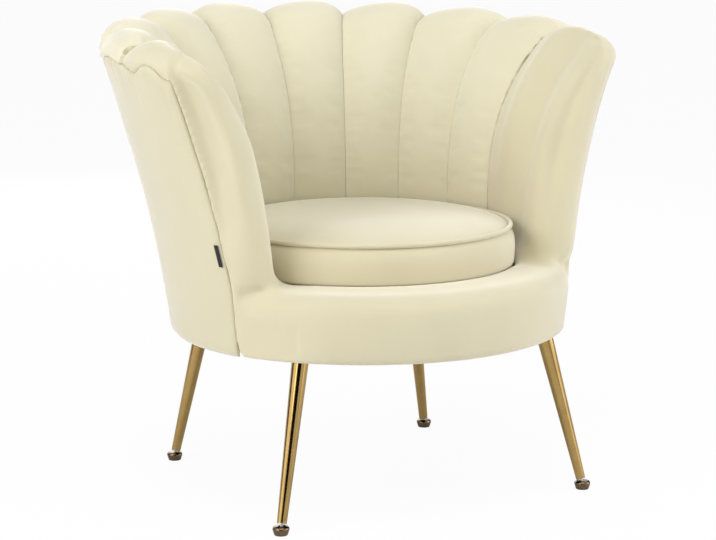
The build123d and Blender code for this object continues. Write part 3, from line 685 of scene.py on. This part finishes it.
# The rolled front is fullest half way up, falls away at its top and at its foot, and has a
# soft fold down its face. Pairs are values on the outside and on the inside of the arm.
INWARDS = (0.2, -0.4)
ROLL_START = (-0.010, -0.070)
ROLL_WHOLE = (0.036, 0.046)
ROLL_HEIGHT = (LEDGE_Z - 0.03, LEDGE_Z + 0.03)
FULL_HEIGHTS = [0.352, 0.429, 0.506, 0.552, 0.583, 0.634, 0.670, 0.696]
FULL = [-0.009, 0.0015, 0.008, 0.012, 0.011, 0.006, -0.006, -0.010]
FOLD_FACING = {-1: 56.0, 1: -50.0}
FOLD_SPREAD = 21.0
FOLD_DEPTH = 0.0150
FOLD_START = (0.001, -0.039)
FOLD_WHOLE = (0.010, 0.035)
FOLD_HEIGHTS = [0.395, 0.450, 0.520, 0.640, 0.690]
FOLD_SHARES = [0, 0.6, 1.0, 1.0, 0.4]
NOSE_DROP = 0.012
NOSE_RANGE = (0.640, 0.700)
APRON_R = 0.316
APRON_FULLER = 0.0025
APRON_AHEAD = (-0.10, -0.16)
APRON_RANGE = (0.350, 0.325)
HEM_DROP = 0.0035
HEM_TOP = 0.266
HEM_HEIGHT = 0.018
SEAT_FACE = (-0.080, -0.040)
SEAT_FACE_HEIGHT = (LEDGE_Z + 0.02, LEDGE_Z + 0.07)
SEAT_FACE_ROUNDS = 14
points = points_of(arms)
side = np.sign(points[:, 0])
place = np.stack([np.abs(points[:, 0]), points[:, 1] - AXIS_Y, points[:, 2]], axis=1)
ahead = (place - seam_foot) @ seam_ahead
mirror = np.stack([side, np.ones_like(side), np.ones_like(side)], axis=1)
normals = points_of(arms, "normal") * mirror
inwards = ease(normals @ seam_out, *INWARDS)
roll = ease(ahead, between(*ROLL_START, inwards), between(*ROLL_WHOLE, inwards))
roll *= ease(place[:, 2], *ROLL_HEIGHT)
full = np.interp(place[:, 2], FULL_HEIGHTS, FULL)
place += (roll * full)[:, None] * ((seam_ahead - seam_out) / sqrt(2))
facing = np.degrees(np.arctan2(normals[:, 0], -normals[:, 1]))
centre = np.where(side < 0, FOLD_FACING[-1], FOLD_FACING[1])
fold = np.exp(-((facing - centre) / FOLD_SPREAD) ** 2)
fold *= ease(ahead, between(*FOLD_START, inwards), between(*FOLD_WHOLE, inwards))
fold *= np.interp(place[:, 2], FOLD_HEIGHTS, FOLD_SHARES)
place -= FOLD_DEPTH * fold[:, None] * normals
place[:, 2] -= NOSE_DROP * roll * ease(place[:, 2], *NOSE_RANGE)
wide = ease(place[:, 1], *APRON_AHEAD) * ease(place[:, 2], *APRON_RANGE)
place[:, :2] *= 1 + (APRON_FULLER * wide / APRON_R)[:, None]
place[:, 2] -= HEM_DROP * np.clip((HEM_TOP - place[:, 2]) / HEM_HEIGHT, 0, 1)
points = np.stack([place[:, 0] * side, place[:, 1] + AXIS_Y, place[:, 2]], axis=1)
set_points(arms, points)
apply_modifier(arms, "SMOOTH", factor=0.5, iterations=5)
facing_seat = inwards * ease(ahead, *SEAT_FACE) * ease(points[:, 2], *SEAT_FACE_HEIGHT)
soften_where(arms, facing_seat, SEAT_FACE_ROUNDS)

# The foot of each arm flows into the ledge, whose lip closes on the cushion. The velvet dips
# at the last petal's seam and runs on under the petal; pairs are as above.
INNER_RADIUS = (ROLL_R + 0.020, ROLL_R - 0.012)
INNER_HEIGHT = (0.56, 0.66)
DIP_UNDER = (0.0055, 0.0085)
DIP_BESIDE = (0.0025, 0.0070)
DIP_WIDTH = 0.010
DIP_EASED = 0.6
DIP_EASES = (0.54, 0.62)
DIP_BEHIND = -0.05
LIP_R = 0.2362
LIP_DRAWN = 0.010
LIP_RISE = 0.003
LIP_REACH = (0.272, 0.246)
LIP_UNDER = (0.318, 0.334)
LIP_OVER = (0.366, 0.350)
AT_FRONT = (-0.06, -0.11)
FOOT_BAND = (0.045, 0.015)
FOOT_BESIDE = (0.17, 0.21)
FOOT_ROUNDS = 60
points = points_of(arms)
normals = points_of(arms, "normal")
x, y = np.abs(points[:, 0]), points[:, 1] - AXIS_Y
r = np.hypot(x, y)
past_seam = (np.arctan2(x, y) - seam_angle(PETALS_PER_SIDE, r)) * r
inner = ease(r, *INNER_RADIUS) * ease(points[:, 2], *INNER_HEIGHT)
dip = np.where(past_seam < 0, between(*DIP_UNDER, inner),
               between(*DIP_BESIDE, inner) * np.exp(-past_seam / DIP_WIDTH))
dip = dip * (y > DIP_BEHIND) * (points[:, 2] > LEDGE_Z)
dip = dip * (1 - DIP_EASED * ease(points[:, 2], *DIP_EASES))
points -= normals * dip[:, None]
lip = ease(r, *LIP_REACH) * ease(points[:, 2], *LIP_UNDER)
lip *= ease(points[:, 2], *LIP_OVER) * ease(y, *AT_FRONT)
drawn = np.maximum(1 - LIP_DRAWN * lip / r, np.minimum(1.0, LIP_R / r))
points[:, 0] *= drawn
points[:, 1] = y * drawn + AXIS_Y
points[:, 2] += LIP_RISE * lip
set_points(arms, points)
near_foot = ease(np.abs(points[:, 2] - LEDGE_Z), *FOOT_BAND)
near_foot *= ease(y, *AT_FRONT) * ease(x, *FOOT_BESIDE)
soften_where(arms, near_foot, FOOT_ROUNDS)

# Behind the front seam the velvet is tucked in under the outer cover.
TUCK_ZONE = 0.016
TUCK_SLACK = 0.0015
TUCK_END = 135
points = points_of(arms)
x, y = np.abs(points[:, 0]), points[:, 1] - AXIS_Y
r = np.hypot(x, y)
degree = np.degrees(np.arctan2(x, y))
step = degree / STEP_RIM
z = unfallen(points[:, 2], step)
outer = outer_radius(z, degree)
behind = np.radians(seam_degrees(r, points[:, 2]) - degree) * r
outside = (r > outer - TUCK_ZONE) & (z < ROLL_Z + scallop(step)) & (degree < TUCK_END)
tuck = np.where(behind > 0, COVER + TUCK_SLACK, SEAM_SINK * np.exp(behind / SEAM_WIDTH))
shrink = np.where(outside & (r > outer - tuck), (outer - tuck) / r, 1.0)
points[:, 0] *= shrink
points[:, 1] = y * shrink + AXIS_Y
set_points(arms, points)
apply_modifier(arms, "SMOOTH", factor=0.5, iterations=2)
arms.data.shade_smooth()
soft_piece(arms, "chair", cream, 0.9, "velvet", *ARM_PARTS)

# Outer cover: one velvet over thin foam round the back, from front seam to front seam.
# Its top edge is gathered where it is sewn under the rim roll, and its foot is stapled under
# the base ring.
GATHER = 0.0011
GATHER_FADE = 0.026
COVER_FOOT = 0.246 - HEM_DROP
COVER_COLUMNS = 321
COVER_EDGE = 112.0
FINE_FROM = 0.82
SEAM_GAP = 0.0006
TOP_SINK = 0.0045
FOOT_SINK = 0.006
SINK_WIDTH = 0.004
ROLL_CLEAR = 0.003
ROLL_SPREAD = 0.2
COVER_SLACK = 0.001


def gathers(step, below):
    """Small folds that start at the gathered seam, strongest where it is pulled down."""
    fold = np.sin(2 * pi * step * 5.3 + 1.7 * np.sin(2 * pi * step * 1.37))
    fold = fold + 0.6 * np.sin(2 * pi * step * 9.1 + 0.5)
    pulled = 1.8 - 1.5 * scallop(step) / SCALLOP
    return GATHER * pulled * fold * np.exp(-below / GATHER_FADE)


def round_body(reach):
    """Points of the cover at these radii."""
    angle = np.radians(degree)
    return np.stack([reach * np.sin(angle), AXIS_Y + reach * np.cos(angle), fallen(z, step)],
                    axis=-1)


rows = np.concatenate([np.linspace(0, FINE_FROM, 60, endpoint=False),
                       np.linspace(FINE_FROM, 1, 40)])[:, None]
across = np.linspace(-1, 1, COVER_COLUMNS)[None, :]
edge = np.full_like(rows, COVER_EDGE)
for repeat in range(6):
    top = ROLL_Z - SEAM_GAP + scallop(across * edge / STEP_RIM)
    z = COVER_FOOT + (top - COVER_FOOT) * rows
    edge_z = fallen(z[:, -1:], edge / STEP_RIM)
    edge = seam_degrees(outer_radius(z[:, -1:], edge), edge_z)
degree = across * edge
step = degree / STEP_RIM
rise = np.clip(z - ROLL_Z, 0, ROLL_RADIUS)
under_roll = ROLL_R + np.sqrt(ROLL_RADIUS ** 2 - rise ** 2) + ROLL_CLEAR + ROLL_SPREAD * rise
radius = np.minimum(outer_radius(z, degree), under_roll)
from_edge = (1 - np.abs(across)) * np.radians(edge) * radius
inset = TOP_SINK * np.exp(-(top - z) / SINK_WIDTH)
inset = inset + FOOT_SINK * np.exp(-(z - COVER_FOOT) / SINK_WIDTH)
inset = inset + SEAM_SINK * np.exp(-from_edge / SEAM_WIDTH)
cover = closed_grids("outer_cover_velvet", round_body(radius - inset + gathers(step, top - z)),
                     round_body(radius - COVER - COVER_SLACK))
soft_piece(cover, "chair", cream, 0.9, "velvet", "outer_cover")

# Side tag: a blank black ribbon, folded in two, its ends sewn into the left front seam.
# The fold lies back over the outer cover and stands a little off it.
TAG_WIDTH = 0.0065
TAG_PLY = 0.0004
TAG_HALF = TAG_WIDTH / 2
TAG_ROWS = 13
TAG_ANGLE = 115.0
TAG_IN_SEAM = 0.5
TAG_GAP = 0.0004
TAG_CURL = 9.0
low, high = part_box("side_tag")
tag_z = np.linspace(low.z, high.z, TAG_ROWS)
tag_r = outer_radius(tag_z, TAG_ANGLE)
tag_edge = seam_degrees(tag_r, tag_z)
bend = [radians(a) for a in range(90, -91, -30)]
outline = [(0.0, 2.2 * TAG_PLY), (TAG_HALF, 2.2 * TAG_PLY)]
outline += [(TAG_WIDTH + 1.1 * TAG_PLY * cos(a), 1.1 * TAG_PLY * (1 + sin(a))) for a in bend]
outline += [(TAG_HALF, 0.0), (0.0, 0.0), (0.0, TAG_PLY), (TAG_HALF, TAG_PLY)]
outline += [(TAG_WIDTH + 0.1 * TAG_PLY * cos(a), TAG_PLY * (1.1 + 0.1 * sin(a)))
            for a in reversed(bend)]
outline += [(TAG_HALF, 1.2 * TAG_PLY), (0.0, 1.2 * TAG_PLY)]
verts = []
for z, r, edge in zip(tag_z, tag_r, tag_edge):
    for back, off in outline:
        angle = -radians(edge - TAG_IN_SEAM) + back / r
        reach = r + TAG_GAP + off + TAG_CURL * back ** 2
        verts.append((reach * sin(angle), AXIS_Y + reach * cos(angle), z))
count = len(outline)
faces = ring_faces(TAG_ROWS, count)
faces += [tuple(range(count)), tuple(range(count * (TAG_ROWS - 1), count * TAG_ROWS))]
tag = new_piece("side_tag_ribbon", verts, faces)
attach(tag, "chair")
close_piece(tag, dark_weave, "dark_textile", "side_tag")

# Dust cover: black non-woven cloth stapled flat under the base ring.
# The leg plates are screwed on through it.
DUST_PALE = (0.030, 0.030, 0.032, 1)
DUST_DEEP = (0.012, 0.012, 0.013, 1)
low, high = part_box("dust_cover")
deselect()
bpy.ops.mesh.primitive_circle_add(vertices=ROUND_SIDES, radius=(high.x - low.x) / 2,
                                  fill_type="TRIFAN",
                                  location=(0, (low.y + high.y) / 2, high.z))
fix_place()
dust = start_piece("dust_cover_cloth", "chair")
apply_modifier(dust, "SOLIDIFY", thickness=high.z - low.z, offset=1.0)
non_woven = woven("black_non_woven", DUST_PALE, DUST_DEEP, 350.0)
close_piece(dust, non_woven, "dark_textile", "dust_cover")

# Cushion: a round foam core in a velvet cover, crowned on top, with a piped seam round the
# top edge. It lies loose on the deck and lifts out.
low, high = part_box("cushion_cover")
CUSHION_FOOT = low.z
CUSHION_CROWN = high.z
CUSHION_EDGE = 0.4010
CUSHION_R = 0.2338
CUSHION_SEAM_R = 0.2240
CUSHION_ROUND = 0.005
CUSHION_BULGE = 0.0012
CUSHION_CLOTH = 0.0023
CUSHION_SIDES = 144
FOAM_DEEP = (0.62, 0.52, 0.30, 1)
FOAM_PALE = (0.85, 0.78, 0.55, 1)


def cushion_profile(inset):
    """Half profile: flat under, full side, drawn in at the piping, crowned; inset is the cloth."""
    side = CUSHION_R - inset
    bottom = CUSHION_FOOT + inset
    foot = bottom + CUSHION_ROUND
    top = CUSHION_EDGE - inset
    points = [(side * s, bottom) for s in (0.0, 0.2, 0.4, 0.6, 0.8)]
    points += [(side - CUSHION_ROUND + CUSHION_ROUND * sin(t), foot - CUSHION_ROUND * cos(t))
               for t in QUARTER]
    for s in np.linspace(0.08, 1, 16):
        pulled = (CUSHION_R - CUSHION_SEAM_R) * s ** 5
        points.append((side + CUSHION_BULGE * sin(pi * s) - pulled, foot + (top - foot) * s))
    for s in np.linspace(0.985, 0.0, 40):
        crown = (CUSHION_CROWN - CUSHION_EDGE) * (1 - s ** 4.5) ** 0.8
        points.append(((CUSHION_SEAM_R - inset) * s, top + crown))
    return points


core = spun("cushion_foam", cushion_profile(CUSHION_CLOTH), ROUND_SIDES)
foam, wire = finish("cushion_foam", {"Roughness": 0.95})
cells = noise(wire, on_piece(wire), 900.0, 3.0)
feed(foam, "Base Color", two_tone(wire, cells, FOAM_DEEP, FOAM_PALE))
relief(foam, wire, cells, 0.5, 0.001)
soft_piece(core, "seat_cushion", foam, 1.0, "foam", "cushion_core")

cushion = spun("cushion_velvet", cushion_profile(0.0), CUSHION_SIDES)
soft_piece(cushion, "seat_cushion", cream, 0.85, "velvet", "cushion_cover")

deselect()
low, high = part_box("cushion_piping")
PIPING_R = (high.z - low.z) / 2
bpy.ops.mesh.primitive_torus_add(major_radius=(high.x - low.x) / 2 - PIPING_R,
                                 minor_radius=PIPING_R, major_segments=192, minor_segments=16,
                                 location=(0, AXIS_Y, (low.z + high.z) / 2))
fix_place()
bpy.ops.object.shade_smooth()
piping = start_piece("cushion_piping_velvet", "seat_cushion")
close_piece(piping, cream, "velvet", "cushion_piping")

# Legs: tapered steel tubes, plated and polished to a warm gold, welded to round plates.
# Four screws hold each plate to the base ring.
LEGS = {
    "front_left": (-1, (0.2075, -0.197), (0.258, -0.2345)),
    "front_right": (1, (0.2075, -0.197), (0.258, -0.2345)),
    "back_left": (-1, (0.189, 0.184), (0.232, 0.216)),
    "back_right": (1, (0.189, 0.184), (0.232, 0.216)),
}
LEG_SIDES = 72
LEG_TOP_R = 0.0125
LEG_END_R = 0.00725
LEG_WALL = 0.0012
LEG_HOLE = 4 * LEG_WALL
LEG_TOP_Z = 0.242
LEG_END_Z = 0.0168
LEG_OVER = 0.020
BALL_Z = 0.0062
GOLD_DEEP = (0.34, 0.218, 0.072, 1)
GOLD_PALE = (0.46, 0.315, 0.122, 1)
ZINC_DEEP = (0.42, 0.42, 0.44, 1)
ZINC_PALE = (0.58, 0.58, 0.60, 1)


def plated(name, roughness, spread, scale, detail, deep, pale):
    """Plated metal, slightly uneven in gloss and tone."""
    material, wire = finish(name, {"Metallic": 1.0})
    smear = noise(wire, on_piece(wire), scale, detail)
    feed(material, "Roughness", roughness + spread * smear)
    feed(material, "Base Color", two_tone(wire, smear, deep, pale))
    return material


def leg(place, side, top, foot):
    """One tapered tube: its top cut flush under the plate, its end open."""
    high = Vector((side * top[0], top[1] + AXIS_Y, LEG_TOP_Z))
    ball = Vector((side * foot[0], foot[1] + AXIS_Y, BALL_Z))
    along = (high - ball).normalized()
    end = ball + along * ((LEG_END_Z - BALL_Z) / along.z)
    length = (high - end).length
    over_r = LEG_END_R + (LEG_TOP_R - LEG_END_R) * (length + LEG_OVER) / length
    deselect()
    bpy.ops.mesh.primitive_cone_add(vertices=LEG_SIDES, radius1=LEG_END_R, radius2=over_r,
                                    depth=length + LEG_OVER,
                                    location=end + along * (length + LEG_OVER) / 2,
                                    rotation=along.to_track_quat("Z", "Y").to_euler())
    fix_place()
    bpy.ops.object.mode_set(mode="EDIT")
    bpy.ops.mesh.select_all(action="SELECT")
    bpy.ops.mesh.bisect(plane_co=(0, 0, LEG_TOP_Z), plane_no=(0, 0, 1), clear_outer=True,
                        use_fill=True)
    bpy.ops.mesh.select_all(action="DESELECT")
    built = bmesh.from_edit_mesh(bpy.context.edit_object.data)
    for face in built.faces:
        face.select_set(len(face.verts) > 8 and face.normal.dot(along) < -0.9)
    bmesh.update_edit_mesh(bpy.context.edit_object.data)
    bpy.ops.mesh.inset(thickness=LEG_WALL)
    bpy.ops.mesh.extrude_region_move(TRANSFORM_OT_translate={"value": tuple(along * LEG_HOLE)})
    bpy.ops.object.mode_set(mode="OBJECT")
    bpy.ops.object.shade_smooth_by_angle(angle=radians(40))
    piece = start_piece(f"leg_{place}_tube", "chair")
    close_piece(piece, polished, "gold_metal", f"leg_{place}")


polished = plated("polished_gold", 0.06, 0.08, 45.0, 3.0, GOLD_DEEP, GOLD_PALE)
zinc = plated("zinc_steel", 0.28, 0.2, 160.0, 3.0, ZINC_DEEP, ZINC_PALE)
for place, (side, top, foot) in LEGS.items():
    leg(place, side, top, foot)
    dress(nodes[f"plate_{place}"], polished)
    dress(nodes[f"bush_{place}"], zinc)
    dress(nodes[f"stem_{place}"], zinc)
dress(nodes["plate_screws"], zinc)

# Glides: dark bronzed feet on ball-ended threaded stems that screw into the leg ends.
# Each foot is turned, with a sloped rim and a rounded shoulder.
FOOT_PROFILE = [(0.0095, 0.0), (0.0102, 0.0010), (0.0123, 0.0078), (0.0124, 0.0090),
                (0.0119, 0.0108), (0.0104, 0.0124), (0.0082, 0.0130), (0.0062, 0.0130)]
FOOT_SIDES = 48
BRONZE_DEEP = (0.11, 0.078, 0.046, 1)
BRONZE_PALE = (0.20, 0.145, 0.088, 1)


def glide(place, side, foot):
    """One turned foot, drawn up ring by ring."""
    first_r, first_z = FOOT_PROFILE[0]
    deselect()
    bpy.ops.mesh.primitive_circle_add(vertices=FOOT_SIDES, radius=first_r, fill_type="NGON",
                                      location=(side * foot[0], foot[1] + AXIS_Y, first_z))
    fix_place()
    bpy.ops.object.mode_set(mode="EDIT")
    bpy.ops.mesh.select_all(action="SELECT")
    for (before_r, before_z), (r, z) in zip(FOOT_PROFILE, FOOT_PROFILE[1:]):
        bpy.ops.mesh.extrude_region_move(TRANSFORM_OT_translate={"value": (0, 0, z - before_z)})
        bpy.ops.transform.resize(value=(r / before_r, r / before_r, 1))
    bpy.ops.mesh.select_all(action="SELECT")
    bpy.ops.mesh.normals_make_consistent(inside=False)
    bpy.ops.object.mode_set(mode="OBJECT")
    bpy.ops.object.shade_smooth_by_angle(angle=radians(35))
    piece = start_piece(f"glide_{place}_foot", f"levelling_glide_{place}")
    close_piece(piece, bronze, "bronze", f"glide_{place}")


bronze = plated("dark_bronze", 0.08, 0.12, 220.0, 4.0, BRONZE_DEEP, BRONZE_PALE)
for place, (side, top, foot) in LEGS.items():
    glide(place, side, foot)

# Studio: a white floor that runs on as the backdrop, large soft lamps, and the camera of the
# product shot. Dark and bright cards round the camera give the polished legs their streaks.
FLOOR_SIZE = 40.0
FLOOR_GLOW = 0.94
FLOOR_MIRRORED = 0.10
AMBIENT = 0.45
AIM_Z = 0.45
CAMERA_PLACE = (-1.54007, -2.94707, 0.91632)
CAMERA_PITCH = 10.158
CAMERA_AZIMUTH = -27.766
CAMERA_LENS = 107.87


def ray_kinds(tree):
    """Wires that are 1 for what is seen straight, mirrored or through glass."""
    path = tree.nodes.new("ShaderNodeLightPath")
    return [Wire(tree, path.outputs[kind])
            for kind in ("Is Camera Ray", "Is Glossy Ray", "Is Transmission Ray")]


deselect()
bpy.ops.mesh.primitive_plane_add(size=FLOOR_SIZE, location=(0, 0, 0))
floor = bpy.context.object
floor.name = "studio_floor"
white, wire = finish("studio_white", {"Base Color": (0.86, 0.86, 0.86, 1), "Roughness": 0.9})
tree = white.node_tree
seen, mirrored, through = ray_kinds(tree)
share = FLOOR_GLOW * seen + FLOOR_MIRRORED * mirrored + FLOOR_GLOW * through
glow = wire.node("ShaderNodeEmission", {}, {"Color": (1, 1, 1, 1), "Strength": 1.0}, "Emission")
body = Wire(tree, tree.nodes["Principled BSDF"].outputs["BSDF"])
shown = wire.node("ShaderNodeMixShader", {}, {0: share, 1: body, 2: glow})
tree.links.new(shown.socket, tree.nodes["Material Output"].inputs["Surface"])
dress(floor, white)

world = bpy.data.worlds.new("studio_world")
bpy.context.scene.world = world
world.use_nodes = True
tree = world.node_tree
seen, mirrored, through = ray_kinds(tree)
light = AMBIENT + (1 - AMBIENT) * (seen + mirrored + through)
backdrop = Wire(tree).node("ShaderNodeBackground", {}, {"Color": (1, 1, 1, 1), "Strength": light})
tree.links.new(backdrop.socket, tree.nodes["World Output"].inputs["Surface"])


def softbox(name, place, size, watts):
    """Large square lamp aimed at the seat."""
    lamp = bpy.data.lights.new(name, "AREA")
    lamp.shape = "SQUARE"
    lamp.size = size
    lamp.energy = watts
    holder = bpy.data.objects.new(name, lamp)
    holder.location = place
    aim = Vector((0, 0, AIM_Z)) - Vector(place)
    holder.rotation_euler = aim.to_track_quat("-Z", "Y").to_euler()
    bpy.context.scene.collection.objects.link(holder)


softbox("left_lamp", (-3.2, -0.9, 1.9), 2.2, 68.0)
softbox("right_lamp", (3.0, -1.9, 1.5), 2.4, 61.0)
softbox("front_lamp", (-0.4, -1.5, 3.3), 2.0, 35.0)
softbox("back_lamp", (0.6, 3.2, 1.6), 2.4, 30.0)


def card(name, place, width, height, material):
    """Tall card that only mirrored light sees: a dark or a bright streak on polished metal."""
    deselect()
    bpy.ops.mesh.primitive_plane_add(size=1.0)
    made = bpy.context.object
    made.name = name
    made.scale = (width, height, 1.0)
    aim = Vector((0, 0, place[2])) - Vector(place)
    made.rotation_euler = aim.to_track_quat("Z", "Y").to_euler()
    made.location = place
    made.visible_camera = False
    made.visible_diffuse = False
    made.visible_shadow = False
    dress(made, material)


black = finish("card_black", {"Base Color": (0.01, 0.01, 0.01, 1), "Roughness": 1.0,
                              "Specular IOR Level": 0.0})[0]
bright = finish("card_white", {"Base Color": (0, 0, 0, 1), "Specular IOR Level": 0.0,
                               "Emission Color": (1, 1, 1, 1), "Emission Strength": 1.9})[0]
card("dark_card_camera", (-1.70, -3.25, 1.35), 2.9, 2.1, black)
card("dark_card_far", (2.4, 1.2, 1.0), 1.2, 2.4, black)
card("dark_card_back", (-2.4, 1.6, 1.0), 1.0, 2.4, black)
card("bright_card_left", (-2.5, -0.3, 0.8), 1.7, 1.6, bright)
card("bright_card_right", (1.9, -2.0, 0.8), 1.4, 1.6, bright)

lens = bpy.data.cameras.new("product_camera")
lens.lens = CAMERA_LENS
camera = bpy.data.objects.new("product_camera", lens)
camera.location = CAMERA_PLACE
camera.rotation_euler = (radians(90 - CAMERA_PITCH), 0, radians(CAMERA_AZIMUTH))
bpy.context.scene.collection.objects.link(camera)
bpy.context.scene.camera = camera
bpy.context.scene.view_settings.view_transform = "Standard"
